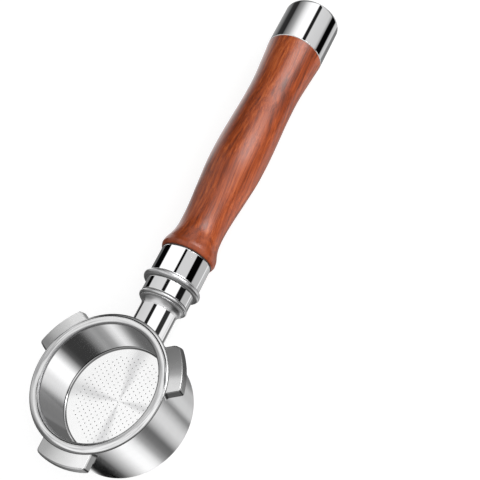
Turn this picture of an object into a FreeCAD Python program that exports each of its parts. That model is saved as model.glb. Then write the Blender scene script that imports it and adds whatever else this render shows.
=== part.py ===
"""Bottomless espresso portafilter, 51 mm size, as an assembly of separate pieces.

Row frame, millimetres: +Z is the axis of the filter holder, up towards the seal of the group.
The origin is the centre of the holder's flat foot. The handle runs out along +X and droops a little.
Pieces of the handle are turned about their own axis: s is the distance along it from the holder's axis.
"""
import FreeCAD, Part
import math
import os

V = FreeCAD.Vector

# ---------------------------------------------------------------- driving dimensions
# filter holder (the ring with three locking lugs)
HEAD_R = 29.2           # outside radius of the ring
HEAD_BORE_R = 26.4      # inside radius, clear of the basket's wall
HEAD_TOP_Z = 34.05      # top edge, which carries the basket's flange
LUG_R = 35.9            # outside radius over the lugs
LUG_TOP_Z = 33.2
LUG_T = 4.0             # thickness of a lug
LUG_EDGE = 0.5          # break along its upper edge
LUG_LEAN = 0.4          # how far the outer face leans in, bottom to top
LUG_END_LEAN = 0.75     # the same for the two ends
# middle and half width of each at the top, degrees; tip rounds at the two ends
LUGS = ((59.6, 16.2, (0.9, 0.9)), (180.0, 18.0, (1.6, 0.9)), (298.0, 15.3, (0.9, 3.0)))
GROOVE_Z = 27.6         # wire groove in the bore
GROOVE_W = 1.7
GROOVE_R = 27.6
SOCKET_R = 6.2          # shallow socket in the ring for the arm's spigot
SOCKET_X = 27.7

# wire spring
WIRE_D = 1.2
SPRING_R = 26.68        # radius to the middle of the wire
SPRING_OPEN_DEG = 34.0

# basket: pressed sheet with a rolled rim
SHEET = 0.5
BASKET_R = 25.5         # inside radius of the straight upper wall, for a 51 mm tamper
BASKET_LOW_R = 24.7     # inside radius at the foot of the tapered wall
STRAIGHT_Z = 24.0       # the straight wall ends here
FLOOR_Z = 12.0          # inside face of the floor
FLOOR_FILLET = 1.2
RIM_TOP_Z = 34.6
RIM_R = 30.0
HOLE_R = 0.25
HOLE_PITCH = 2.0        # square pattern
HOLE_TURN_DEG = -37.0   # direction of its rows
HOLE_SHIFT = (-0.35, 0.05)   # hole nearest the centre, in pitches
HOLE_FIELD_R = 20.4
ROLL_R = 0.62           # roll at the rim's outer edge
LIP_R = 1.1            # bend from the wall into the rim, on the inside

# handle line
AXIS_Z = 17.6           # height of the handle's axis where it meets the holder's axis
DROOP_DEG = 3.0

NECK_R = 8.4
NECK_END = 44.9
FLARE_R = 10.5
COLLAR_R = 11.0
COLLAR_BEAD_R = 11.3
COLLAR_BEAD_W = 2.4
COLLAR_END = 53.2
BEAD_R = 13.4
BEAD_W = 3.6
FERRULE_R = 11.8
FERRULE_END = 69.2
GASKET_T = 0.35
CAVITY_R = 10.2         # inside the ferrule
WEB_END = 56.4          # back of the ferrule's web
SPIGOT_R = 10.1         # wood inside the ferrule
SPIGOT_START = 60.2
WOOD_END = 194.0
CAP_START = 194.3
CAP_END = 220.0
CAP_R = 14.25
CAP_EDGE = 2.8
CAP_CAVITY_R = 11.8
CAP_CAVITY_END = 208.5
REAR_SPIGOT_R = 11.7
REAR_SPIGOT_END = 199.0

ROD_R = 4.0             # M8
ROD_START = 31.0
ROD_END = 215.0
ROD_CLEAR = 4.15
THREAD_PITCH = 1.25
BUSH_R = 7.0
BUSH_L = 10.0
WOOD_BORE_R = 4.6
NUT_AF = 13.0           # across flats, M8
PIN_R = 1.0
PIN_OFFSET = 8.85

# grip profile: (s, radius) from the ferrule to the cap
GRIP = [
    (71.7, 12.95), (73.6, 12.72), (75.6, 12.05), (77.6, 11.38), (79.8, 10.88), (83.0, 10.55),
    (87.4, 10.5), (91.5, 10.66), (97.5, 11.1), (103.6, 11.7), (109.9, 12.28), (116.1, 12.84),
    (122.5, 13.17), (129.0, 13.25), (135.5, 13.17), (142.1, 12.94), (148.7, 12.68), (155.5, 12.4),
    (162.4, 12.28), (168.0, 12.28), (173.0, 12.45), (178.7, 12.86), (183.5, 13.26), (188.3, 13.66),
    (191.4, 13.96), (194.0, 14.2),
]


# ---------------------------------------------------------------- helpers
def ring_shape(profile, axis="z", start_deg=0.0, sweep=360.0):
    """Solid of revolution. profile is a list of edges or of (radius, height) points that closes on itself."""
    if isinstance(profile[0], tuple):
        if axis == "z":
            pts = [V(r, 0, z) for r, z in profile]
        else:
            pts = [V(s, 0, r) for s, r in profile]
        wire = Part.makePolygon(pts + [pts[0]])
    else:
        wire = Part.Wire(Part.__sortEdges__(profile))
    face = Part.Face(wire)
    direction = V(0, 0, 1) if axis == "z" else V(1, 0, 0)
    if start_deg:
        face.rotate(V(0, 0, 0), direction, start_deg)
    return face.revolve(V(0, 0, 0), direction, sweep)


def outline(items, axis):
    """Edges of a closed outline. items: ("l", a, b) straight, ("a", a, mid, b) arc through mid, ("s", [points]) spline."""
    def at(p):
        return V(p[0], 0, p[1])
    edges = []
    for it in items:
        if it[0] == "l":
            edges.append(Part.LineSegment(at(it[1]), at(it[2])).toShape())
        elif it[0] == "a":
            edges.append(Part.Arc(at(it[1]), at(it[2]), at(it[3])).toShape())
        else:
            c = Part.BSplineCurve()
            c.interpolate([at(p) for p in it[1]])
            edges.append(c.toShape())
    return edges


def arc_mid(centre, radius, a0, a1):
    a = math.radians((a0 + a1) / 2)
    return (centre[0] + radius * math.cos(a), centre[1] + radius * math.sin(a))


def arc_pt(centre, radius, a):
    a = math.radians(a)
    return (centre[0] + radius * math.cos(a), centre[1] + radius * math.sin(a))


def arc(centre, radius, a0, a1):
    return ("a", arc_pt(centre, radius, a0), arc_mid(centre, radius, a0, a1), arc_pt(centre, radius, a1))


def loop(points_and_arcs):
    """Joins a list of points and arcs ("a", p, mid, q) into a closed list of outline items."""
    items, last, first = [], None, None
    for it in points_and_arcs:
        start = it[1] if it[0] == "a" else (it[1][0] if it[0] == "s" else it)
        if first is None:
            first = start
        if last is not None and math.dist(last, start) > 1e-6:
            items.append(("l", last, start))
        if it[0] in ("a", "s"):
            items.append(it)
            last = it[3] if it[0] == "a" else it[1][-1]
        else:
            last = it
    if math.dist(last, first) > 1e-6:
        items.append(("l", last, first))
    return items


def turned(points_and_arcs, axis="x"):
    return ring_shape(outline(loop(points_and_arcs), axis), axis)


def to_handle(shape):
    """From the handle's own frame (axis along +X from the origin) into the row frame."""
    s = shape.copy()
    s.rotate(V(0, 0, 0), V(0, 1, 0), DROOP_DEG)
    s.translate(V(0, 0, AXIS_Z))
    return s


def rod_x(r, a, b):
    return Part.makeCylinder(r, b - a, V(a, 0, 0), V(1, 0, 0))


def tidy(shape):
    try:
        s = shape.removeSplitter()
        if s.isValid() and s.Volume > 0:
            return s
    except Exception:
        pass
    return shape


parts = {}

# ---------------------------------------------------------------- filter holder
c_in = (HEAD_BORE_R + 0.7, HEAD_TOP_Z - 0.7)
c_out = (HEAD_R - 1.0, HEAD_TOP_Z - 1.0)
c_foot_out = (HEAD_R - 0.9, 0.9)
c_foot_in = (HEAD_BORE_R + 0.8, 0.8)
ring = ring_shape(outline(loop([
    arc(c_out, 1.0, 90, 0),
    arc(c_foot_out, 0.9, 0, -90),
    arc(c_foot_in, 0.8, -90, -180),
    (HEAD_BORE_R, GROOVE_Z - GROOVE_W / 2),
    (GROOVE_R, GROOVE_Z - GROOVE_W / 2),
    (GROOVE_R, GROOVE_Z + GROOVE_W / 2),
    (HEAD_BORE_R, GROOVE_Z + GROOVE_W / 2),
    arc(c_in, 0.7, 180, 90),
]), "z"), "z")


def lug_outline(r_out, y_end, f, tips, z):
    """Lug outline in plan about +X: outer arc, eased tips, end faces and root fillets that run into the ring."""
    r_in = HEAD_R - 1.2
    r_ring = HEAD_R - 0.05          # the fillets dip just under the ring's wall
    rc = r_ring + f
    edges = []

    def half(sign, q):
        k = r_out - q
        cx, cy = math.sqrt(k * k - (y_end - q) ** 2), y_end - q
        on_arc = (cx * r_out / k, cy * r_out / k)
        on_end = (cx, y_end)
        bend = math.radians((math.degrees(math.atan2(cy, cx)) + 90.0) / 2)
        tip_mid = (cx + q * math.cos(bend), cy + q * math.sin(bend))
        xc = math.sqrt(rc * rc - (y_end + f) ** 2)
        root = (xc, y_end)
        on_ring = (xc * r_ring / rc, (y_end + f) * r_ring / rc)
        turn = (-90.0 + math.degrees(math.atan2(-(y_end + f), -xc)) % 360 - 360) / 2
        root_mid = (xc + f * math.cos(math.radians(turn)), y_end + f + f * math.sin(math.radians(turn)))
        ang = math.atan2(on_ring[1], on_ring[0])
        inside = (r_in * math.cos(ang), r_in * math.sin(ang))
        return [V(x, sign * y, z) for x, y in (on_arc, tip_mid, on_end, root, root_mid, on_ring, inside)]

    lo, hi = half(-1, tips[0]), half(1, tips[1])
    edges.append(Part.Arc(lo[0], V(r_out, 0, z), hi[0]).toShape())
    edges.append(Part.Arc(hi[0], hi[1], hi[2]).toShape())
    edges.append(Part.LineSegment(hi[2], hi[3]).toShape())
    edges.append(Part.Arc(hi[3], hi[4], hi[5]).toShape())
    edges.append(Part.LineSegment(hi[5], hi[6]).toShape())
    edges.append(Part.Arc(hi[6], V(r_in, 0, z), lo[6]).toShape())
    edges.append(Part.LineSegment(lo[6], lo[5]).toShape())
    edges.append(Part.Arc(lo[5], lo[4], lo[3]).toShape())
    edges.append(Part.LineSegment(lo[3], lo[2]).toShape())
    edges.append(Part.Arc(lo[2], lo[1], lo[0]).toShape())
    return Part.Wire(edges)


def lug(angle, half, tips):
    """One locking lug: its outer face and its ends lean in towards the top, and all outer edges are broken."""
    z0, z1 = LUG_TOP_Z - LUG_T, LUG_TOP_Z
    y_end = LUG_R * math.sin(math.radians(half)) + LUG_END_LEAN + 0.45
    levels = (
        (z0, 0.35, 0.35),
        (z0 + 0.35, 0.0, 0.0),
        (z1 - LUG_EDGE, LUG_LEAN, LUG_END_LEAN),
        (z1 - 0.3 * LUG_EDGE, LUG_LEAN + 0.3 * LUG_EDGE, LUG_END_LEAN + 0.3 * LUG_EDGE),
        (z1, LUG_LEAN + LUG_EDGE, LUG_END_LEAN + 0.9 * LUG_EDGE),
    )
    wires = [lug_outline(LUG_R - d_out, y_end - d_end, 2.0, tips, z) for z, d_out, d_end in levels]
    block = Part.makeLoft(wires, True, True)
    # lead-in ramp under the leading end of the lug
    cut = Part.makeBox(20, 12, 6, V(0, -6, -6))
    cut.translate(V(HEAD_R + 0.6, 0, 0))
    cut.rotate(V(0, 0, 0), V(1, 0, 0), 12.0)
    cut.translate(V(0, y_end - 3.2, z0 + 0.0))
    block = block.cut(cut)
    block.rotate(V(0, 0, 0), V(0, 0, 1), angle)
    return block


head = ring
for a, half, tips in LUGS:
    head = head.fuse(lug(a, half, tips))
head = tidy(head)
# socket for the arm's spigot, along the handle's axis
socket = to_handle(rod_x(SOCKET_R, SOCKET_X, HEAD_R + 4))
head = head.cut(socket)
parts["filter_holder_head"] = tidy(head)

# ---------------------------------------------------------------- wire spring
circle = Part.Face(Part.Wire(Part.makeCircle(WIRE_D / 2, V(SPRING_R, 0, GROOVE_Z), V(0, 1, 0))))
circle.rotate(V(0, 0, 0), V(0, 0, 1), SPRING_OPEN_DEG / 2)
parts["retaining_spring"] = circle.revolve(V(0, 0, 0), V(0, 0, 1), 360 - SPRING_OPEN_DEG)

# ---------------------------------------------------------------- basket
t = SHEET
lip_c = (BASKET_R + LIP_R, RIM_TOP_Z - LIP_R)
roll_c = (RIM_R - ROLL_R, RIM_TOP_Z - ROLL_R)
slope = math.degrees(math.atan2(BASKET_R - BASKET_LOW_R, STRAIGHT_Z - (FLOOR_Z + FLOOR_FILLET)))
foot_c = (BASKET_LOW_R - FLOOR_FILLET, FLOOR_Z + FLOOR_FILLET)
basket = ring_shape(outline(loop([
    (0.0, FLOOR_Z),
    arc(foot_c, FLOOR_FILLET, -90, 0),
    (BASKET_R, STRAIGHT_Z),
    arc(lip_c, LIP_R, 180, 90),
    arc(roll_c, ROLL_R, 90, -90),
    arc(roll_c, ROLL_R - t, -90, 90),
    arc(lip_c, LIP_R - t, 90, 180),
    (BASKET_R + t, STRAIGHT_Z),
    arc(foot_c, FLOOR_FILLET + t, 0, -90),
    (0.0, FLOOR_Z - t),
]), "z"), "z")
holes = []
turn = math.radians(HOLE_TURN_DEG)
n = int(HOLE_FIELD_R / HOLE_PITCH) + 2
for i in range(-n, n + 1):
    for j in range(-n, n + 1):
        u, v = (i + HOLE_SHIFT[0]) * HOLE_PITCH, (j + HOLE_SHIFT[1]) * HOLE_PITCH
        x = u * math.cos(turn) - v * math.sin(turn)
        y = u * math.sin(turn) + v * math.cos(turn)
        if math.hypot(x, y) <= HOLE_FIELD_R:
            holes.append(Part.makeCylinder(HOLE_R, t + 2, V(x, y, FLOOR_Z - t - 1), V(0, 0, 1)))
print("basket holes", len(holes))
basket = basket.cut(Part.makeCompound(holes))
parts["filter_basket"] = basket

# ---------------------------------------------------------------- arm between holder and handle
flare = [(41.2, NECK_R), (42.6, NECK_R + 0.22), (43.6, NECK_R + 0.75), (44.3, NECK_R + 1.4), (NECK_END - 0.25, FLARE_R)]
neck = turned([
    (24.0, 0.0), (24.0, NECK_R),
    ("s", flare),
    (NECK_END, FLARE_R), (NECK_END, 0.0),
])
holder_bar = Part.makeCylinder(HEAD_R + 0.02, 80, V(0, 0, -20), V(0, 0, 1))
neck_row = to_handle(neck).cut(holder_bar)
neck_row = neck_row.fuse(to_handle(rod_x(SOCKET_R - 0.03, SOCKET_X + 0.03, 33.0)))
neck_row = neck_row.cut(to_handle(rod_x(ROD_R + 0.05, ROD_START - 0.5, 60.0)))
parts["neck_arm"] = tidy(neck_row)

# ---------------------------------------------------------------- collar
bead_c1 = (NECK_END + 0.05 + COLLAR_BEAD_W / 2, COLLAR_BEAD_R - COLLAR_BEAD_W / 2)
collar = turned([
    (NECK_END + 0.02, ROD_CLEAR),
    (NECK_END + 0.02, COLLAR_BEAD_R - COLLAR_BEAD_W / 2),
    arc((NECK_END + 0.02 + COLLAR_BEAD_W / 2, COLLAR_BEAD_R - COLLAR_BEAD_W / 2), COLLAR_BEAD_W / 2, 180, 25),
    (NECK_END + 0.02 + COLLAR_BEAD_W + 0.05, COLLAR_R - 0.12),
    (NECK_END + 0.02 + COLLAR_BEAD_W + 0.35, COLLAR_R),
    (COLLAR_END - 0.02, COLLAR_R),
    (COLLAR_END - 0.02, ROD_CLEAR),
])
parts["neck_collar"] = to_handle(collar)

# ---------------------------------------------------------------- ferrule
b0 = COLLAR_END
ferrule = turned([
    (b0, ROD_CLEAR),
    (b0, BEAD_R - 1.5),
    arc((b0 + 1.5, BEAD_R - 1.5), 1.5, 180, 90),
    arc((b0 + BEAD_W - 1.5, BEAD_R - 1.5), 1.5, 90, 12),
    ("s", [(b0 + BEAD_W + 0.02, FERRULE_R + 0.95), (b0 + BEAD_W + 0.5, FERRULE_R + 0.42),
           (b0 + BEAD_W + 1.3, FERRULE_R + 0.1), (b0 + BEAD_W + 2.4, FERRULE_R)]),
    (FERRULE_END - 0.3, FERRULE_R),
    (FERRULE_END, FERRULE_R - 0.3),
    (FERRULE_END, CAVITY_R),
    (WEB_END, CAVITY_R),
    (WEB_END, ROD_CLEAR),
])
pin_holes = [rod_x(PIN_R + 0.02, 54.4, 66.6) for _ in range(2)]
pin_holes[0].translate(V(0, PIN_OFFSET, 0))
pin_holes[1].translate(V(0, -PIN_OFFSET, 0))
for ph in pin_holes:
    ferrule = ferrule.cut(ph)
parts["ferrule"] = to_handle(ferrule)

# ---------------------------------------------------------------- gasket between ferrule and wood
g0 = FERRULE_END
parts["ferrule_gasket"] = to_handle(turned([
    (g0 + 0.01, CAVITY_R + 0.1), (g0 + 0.01, FERRULE_R - 0.1), (g0 + GASKET_T - 0.01, FERRULE_R - 0.1),
    (g0 + GASKET_T - 0.01, CAVITY_R + 0.1)]))

# ---------------------------------------------------------------- wooden grip
w0 = FERRULE_END + GASKET_T
NUT_SEAT_END = 64.8
grip = turned([
    (SPIGOT_START, 8.0), (SPIGOT_START, SPIGOT_R - 0.3), (SPIGOT_START + 0.3, SPIGOT_R), (w0, SPIGOT_R),
    (w0, FERRULE_R + 0.1),
    ("a", (w0, FERRULE_R + 0.1), (w0 + 0.62, 12.66), (GRIP[0][0], GRIP[0][1])),
    ("s", GRIP),
    (WOOD_END, REAR_SPIGOT_R), (REAR_SPIGOT_END - 0.3, REAR_SPIGOT_R), (REAR_SPIGOT_END, REAR_SPIGOT_R - 0.3),
    (REAR_SPIGOT_END, BUSH_R), (REAR_SPIGOT_END - BUSH_L, BUSH_R), (REAR_SPIGOT_END - BUSH_L, WOOD_BORE_R),
    (NUT_SEAT_END + BUSH_L, WOOD_BORE_R), (NUT_SEAT_END + BUSH_L, BUSH_R), (NUT_SEAT_END, BUSH_R),
    (NUT_SEAT_END, 8.0),
])
for ph in pin_holes:
    grip = grip.cut(ph)
parts["wood_grip"] = to_handle(grip)

# ---------------------------------------------------------------- end cap
cap = turned([
    (CAP_START, CAP_CAVITY_R), (CAP_START, CAP_R - 0.2), (CAP_START + 0.2, CAP_R),
    (CAP_END - CAP_EDGE, CAP_R),
    arc((CAP_END - CAP_EDGE, CAP_R - CAP_EDGE), CAP_EDGE, 90, 8),
    (CAP_END, 9.0), (CAP_END + 0.0, 0.0),
    (ROD_END + 1.0, 0.0), (ROD_END + 1.0, ROD_R + 0.05), (CAP_CAVITY_END, ROD_R + 0.05),
    (CAP_CAVITY_END, CAP_CAVITY_R),
])
parts["end_cap"] = to_handle(tidy(cap))

parts["cap_seal_ring"] = to_handle(turned([
    (WOOD_END + 0.01, CAP_CAVITY_R + 0.2), (WOOD_END + 0.01, CAP_R - 0.35), (CAP_START - 0.01, CAP_R - 0.35),
    (CAP_START - 0.01, CAP_CAVITY_R + 0.2)]))


# ---------------------------------------------------------------- tie rod and its fasteners
def thread(a, b):
    """Ridges of a thread on the rod between a and b, as rings."""
    pts = []
    k = int((b - a) / THREAD_PITCH)
    for i in range(k):
        s = a + i * THREAD_PITCH
        pts += [(s, ROD_R - 0.55), (s + THREAD_PITCH * 0.5, ROD_R)]
    pts.append((a + k * THREAD_PITCH, ROD_R - 0.55))
    return pts


rod_pts = [(ROD_START, 0.0), (ROD_START, ROD_R - 1.1)] + thread(ROD_START + 0.4, 65.5) + \
    [(67.0, ROD_R - 0.15), (196.0, ROD_R - 0.15)] + thread(197.0, ROD_END - 0.4) + \
    [(ROD_END, ROD_R - 1.1), (ROD_END, 0.0)]
parts["tie_rod"] = to_handle(ring_shape(rod_pts, "x"))


def hex_nut(a, b):
    r = NUT_AF / 2 / math.cos(math.radians(30))
    pts = [V(a, r * math.cos(math.radians(60 * i)), r * math.sin(math.radians(60 * i))) for i in range(6)]
    prism = Part.Face(Part.makePolygon(pts + [pts[0]])).extrude(V(b - a, 0, 0))
    dome = turned([(a, 0.0), (a, NUT_AF / 2 - 0.1), (a + 0.7, r + 0.1), (b - 0.7, r + 0.1), (b, NUT_AF / 2 - 0.1), (b, 0.0)])
    return prism.common(dome).cut(rod_x(ROD_R + 0.05, a - 1, b + 1))


def washer(a, b, r_out, r_in=ROD_CLEAR + 0.1):
    e = 0.12
    return turned([(a, r_in), (a, r_out - e), (a + e, r_out), (b - e, r_out), (b, r_out - e), (b, r_in)])


W1 = WEB_END + 0.02
parts["front_washer"] = to_handle(washer(W1, W1 + 1.2, 7.4))
# split spring washer: a ring with a slanting cut
sw = washer(W1 + 1.22, W1 + 3.0, 6.9, 4.3)
slit = Part.makeBox(6.0, 0.9, 8.0, V(W1 - 1.0, -0.45, 0))
slit.rotate(V(W1 + 2.1, 0, 0), V(0, 0, 1), 28)
sw = sw.cut(slit)
parts["front_spring_washer"] = to_handle(sw)
NUT1 = W1 + 3.02
parts["front_lock_nut"] = to_handle(hex_nut(NUT1, NUT1 + 5.0))
parts["front_bush"] = to_handle(turned([
    (NUT_SEAT_END + 0.05, ROD_CLEAR), (NUT_SEAT_END + 0.05, BUSH_R - 0.02), (NUT_SEAT_END + BUSH_L - 0.05, BUSH_R - 0.02),
    (NUT_SEAT_END + BUSH_L - 0.05, ROD_CLEAR)]))
parts["rear_bush"] = to_handle(turned([
    (REAR_SPIGOT_END - BUSH_L + 0.05, ROD_CLEAR), (REAR_SPIGOT_END - BUSH_L + 0.05, BUSH_R - 0.02),
    (REAR_SPIGOT_END, BUSH_R - 0.02), (REAR_SPIGOT_END, ROD_CLEAR)]))
R1 = REAR_SPIGOT_END + 0.02
parts["rear_washer"] = to_handle(washer(R1, R1 + 1.6, 9.5))
# disc spring: a shallow cone of sheet
d0 = R1 + 1.62
parts["rear_disc_spring"] = to_handle(turned([
    (d0, 8.0), (d0 + 0.9, 8.0), (d0 + 1.6, 4.3), (d0 + 0.7, 4.3)]))
NUT2 = d0 + 1.62
parts["rear_lock_nut"] = to_handle(hex_nut(NUT2, NUT2 + 5.6))
pins = []
for sgn in (1, -1):
    p = turned([(54.45, 0.0), (54.45, PIN_R - 0.25), (54.7, PIN_R), (66.2, PIN_R), (66.45, PIN_R - 0.25), (66.45, 0.0)])
    p.translate(V(0, sgn * PIN_OFFSET, 0))
    pins.append(to_handle(p))
parts["anti_turn_pins"] = Part.makeCompound(pins)

# ---------------------------------------------------------------- write
os.makedirs("parts", exist_ok=True)
for old in os.listdir("parts"):
    if old.endswith(".step") and old[:-5] not in parts:
        os.remove(os.path.join("parts", old))
for name, shape in sorted(parts.items()):
    solids = shape.Solids
    for s in solids:
        if not s.isValid() or s.Volume <= 0:
            raise SystemExit("bad solid in " + name)
    out = solids[0] if len(solids) == 1 else Part.makeCompound(solids)
    out.exportStep("parts/" + name + ".step")
    bb = out.BoundBox
    print("%-22s solids %d volume %9.1f  x %.1f..%.1f y %.1f..%.1f z %.1f..%.1f" % (
        name, len(solids), out.Volume, bb.XMin, bb.XMax, bb.YMin, bb.YMax, bb.ZMin, bb.ZMax))
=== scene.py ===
import math

import bmesh
import bpy
import numpy as np
from mathutils import Matrix, Vector
from mathutils.geometry import delaunay_2d_cdt


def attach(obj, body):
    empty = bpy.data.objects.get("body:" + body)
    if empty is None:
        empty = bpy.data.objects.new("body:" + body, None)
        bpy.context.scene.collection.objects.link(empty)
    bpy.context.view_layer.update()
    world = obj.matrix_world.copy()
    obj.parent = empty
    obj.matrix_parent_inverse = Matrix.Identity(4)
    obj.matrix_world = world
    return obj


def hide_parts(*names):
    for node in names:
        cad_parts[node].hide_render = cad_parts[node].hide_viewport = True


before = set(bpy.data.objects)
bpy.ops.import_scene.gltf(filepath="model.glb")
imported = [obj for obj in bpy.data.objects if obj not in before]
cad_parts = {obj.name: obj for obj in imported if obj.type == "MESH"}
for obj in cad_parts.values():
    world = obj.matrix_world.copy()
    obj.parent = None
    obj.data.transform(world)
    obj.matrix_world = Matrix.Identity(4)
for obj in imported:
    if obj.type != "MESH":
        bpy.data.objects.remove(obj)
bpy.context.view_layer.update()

SCENE = bpy.context.scene
MM = 0.001

# ------------------------------------------------------------------ camera
RIGHT = Vector((0.39327567, -0.87697701, -0.27612598))
DOWN = Vector((-0.83553805, -0.21556892, -0.50537729))
AHEAD = Vector((0.38368009, 0.42946636, -0.81752568))
CAM_AT = Vector((-0.07546, -0.19959, 0.35526))
cam_data = bpy.data.cameras.new("camera")
cam_data.sensor_width = 36.0
cam_data.lens = 36.0 * 946.66 / 480.0
cam_data.clip_start = 0.01
cam_data.clip_end = 20.0
cam = bpy.data.objects.new("camera", cam_data)
SCENE.collection.objects.link(cam)
up, back = -DOWN, -AHEAD
cam.matrix_world = Matrix((
    (RIGHT.x, up.x, back.x, CAM_AT.x),
    (RIGHT.y, up.y, back.y, CAM_AT.y),
    (RIGHT.z, up.z, back.z, CAM_AT.z),
    (0, 0, 0, 1)))
SCENE.camera = cam
SCENE.view_settings.view_transform = "Standard"
SCENE.view_settings.look = "None"

# ------------------------------------------------------------------ handle line
DROOP = math.radians(3.0)
AXIS_Z = 17.6
H = Vector((math.cos(DROOP), 0, -math.sin(DROOP)))
HU = Vector((math.sin(DROOP), 0, math.cos(DROOP)))
HV = Vector((0, 1, 0))
H0 = Vector((0, 0, AXIS_Z))
HANDLE = Matrix((
    (H.x, HV.x, HU.x, H0.x),
    (H.y, HV.y, HU.y, H0.y),
    (H.z, HV.z, HU.z, H0.z),
    (0, 0, 0, 1)))      # handle frame (s, v, u) in mm to the row frame in mm


# ------------------------------------------------------------------ mesh helpers
def link(name, me):
    ob = bpy.data.objects.new(name, me)
    SCENE.collection.objects.link(ob)
    return ob


def finish_mesh(me, sharp=28.0):
    me.validate()
    for p in me.polygons:
        p.use_smooth = True
    me.set_sharp_from_angle(angle=math.radians(sharp))
    me.update()


def arc_pts(c, r, a0, a1, n):
    out = []
    for i in range(n + 1):
        a = math.radians(a0 + (a1 - a0) * i / n)
        out.append((c[0] + r * math.cos(a), c[1] + r * math.sin(a)))
    return out


def clean(points, eps=1e-5):
    out = []
    for p in points:
        if not out or math.dist(out[-1], p) > eps:
            out.append(p)
    if len(out) > 1 and math.dist(out[0], out[-1]) < eps:
        out.pop()
    return out


def spline(points, n):
    """Natural cubic through (s, r) points, sampled n times."""
    x = np.array([p[0] for p in points], float)
    y = np.array([p[1] for p in points], float)
    m = len(x)
    h = np.diff(x)
    A = np.zeros((m, m))
    b = np.zeros(m)
    A[0, 0] = A[-1, -1] = 1
    for i in range(1, m - 1):
        A[i, i - 1] = h[i - 1]
        A[i, i] = 2 * (h[i - 1] + h[i])
        A[i, i + 1] = h[i]
        b[i] = 6 * ((y[i + 1] - y[i]) / h[i] - (y[i] - y[i - 1]) / h[i - 1])
    k = np.linalg.solve(A, b)
    out = []
    for q in np.linspace(x[0], x[-1], n):
        i = min(max(int(np.searchsorted(x, q) - 1), 0), m - 2)
        a, c = x[i + 1] - q, q - x[i]
        v = (k[i] * a ** 3 + k[i + 1] * c ** 3) / (6 * h[i]) + (y[i] / h[i] - k[i] * h[i] / 6) * a \
            + (y[i + 1] / h[i] - k[i + 1] * h[i] / 6) * c
        out.append((float(q), float(v)))
    return out


def held(points, closed=True, d=0.04, least=0.4):
    """Adds a point close to each end of every long straight, so that rounded edges don't bend its shading."""
    out = []
    m = len(points)
    for i in range(m):
        a = points[i]
        out.append(a)
        if i == m - 1 and not closed:
            break
        b = points[(i + 1) % m]
        n = math.dist(a, b)
        if n > least and a[1] > 1e-6 and b[1] > 1e-6:
            for f in (d / n, 1 - d / n):
                out.append((a[0] + (b[0] - a[0]) * f, a[1] + (b[1] - a[1]) * f))
    return out


def lathe(name, loop, segs=224, handle=True, sharp=28.0, shape=None):
    """Turns a closed (s, r) loop about the handle's axis, or a closed (z, r) loop about the row's Z.
    Points with r = 0 collapse onto the axis. shape(s, r, angle) may move a point."""
    loop = held(clean(loop))
    bm = bmesh.new()
    rows = []
    for s, r in loop:
        if r < 1e-6:
            v = (HANDLE @ Vector((s, 0, 0))) * MM if handle else Vector((0, 0, s)) * MM
            one = bm.verts.new(v)
            rows.append([one] * segs)
            continue
        row = []
        for i in range(segs):
            a = 2 * math.pi * i / segs
            ss, rr = (s, r) if shape is None else shape(s, r, a)
            if handle:
                p = HANDLE @ Vector((ss, rr * math.cos(a), rr * math.sin(a)))
            else:
                p = Vector((rr * math.cos(a), rr * math.sin(a), ss))
            row.append(bm.verts.new(p * MM))
        rows.append(row)
    n = len(rows)
    for k in range(n):
        A, B = rows[k], rows[(k + 1) % n]
        if A[0] is A[1] and B[0] is B[1]:
            continue
        for i in range(segs):
            j = (i + 1) % segs
            vs = [A[i], A[j], B[j], B[i]]
            uniq = []
            for v in vs:
                if v not in uniq:
                    uniq.append(v)
            if len(uniq) >= 3:
                bm.faces.new(uniq)
    bmesh.ops.recalc_face_normals(bm, faces=bm.faces)
    me = bpy.data.meshes.new(name)
    bm.to_mesh(me)
    bm.free()
    finish_mesh(me, sharp)
    return link(name, me)


# ------------------------------------------------------------------ node helpers
def material(name):
    m = bpy.data.materials.new(name)
    m.use_nodes = True
    nt = m.node_tree
    bsdf = nt.nodes["Principled BSDF"]
    return m, nt, bsdf


def add(nt, kind, **kw):
    n = nt.nodes.new(kind)
    for k, v in kw.items():
        if k.startswith("i_"):
            key = k[2:].replace("_", " ")
            n.inputs[key].default_value = v
        elif k.startswith("n") and k[1:].isdigit():
            n.inputs[int(k[1:])].default_value = v
        else:
            setattr(n, k, v)
    return n


def math_node(nt, op, a=None, b=None, c=None, clamp=False):
    n = nt.nodes.new("ShaderNodeMath")
    n.operation = op
    n.use_clamp = clamp
    for i, v in enumerate((a, b, c)):
        if v is None:
            continue
        if isinstance(v, (int, float)):
            n.inputs[i].default_value = v
        else:
            nt.links.new(v, n.inputs[i])
    return n.outputs[0]


def smooth(nt, value, lo, hi):
    n = nt.nodes.new("ShaderNodeMapRange")
    n.interpolation_type = "SMOOTHSTEP"
    n.inputs["From Min"].default_value = lo
    n.inputs["From Max"].default_value = hi
    nt.links.new(value, n.inputs["Value"])
    return n.outputs["Result"]


def mixf(nt, f, a, b):
    n = nt.nodes.new("ShaderNodeMix")
    n.data_type = "FLOAT"
    for v, s in ((f, 0), (a, 2), (b, 3)):
        if isinstance(v, (int, float)):
            n.inputs[s].default_value = v
        else:
            nt.links.new(v, n.inputs[s])
    return n.outputs[0]


def mixc(nt, f, a, b, mode="MIX"):
    n = nt.nodes.new("ShaderNodeMix")
    n.data_type = "RGBA"
    n.blend_type = mode
    for v, s in ((f, 0), (a, 6), (b, 7)):
        if isinstance(v, (int, float)):
            n.inputs[s].default_value = v
        elif isinstance(v, tuple):
            n.inputs[s].default_value = (*v, 1.0) if len(v) == 3 else v
        else:
            nt.links.new(v, n.inputs[s])
    return n.outputs[2]


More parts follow.
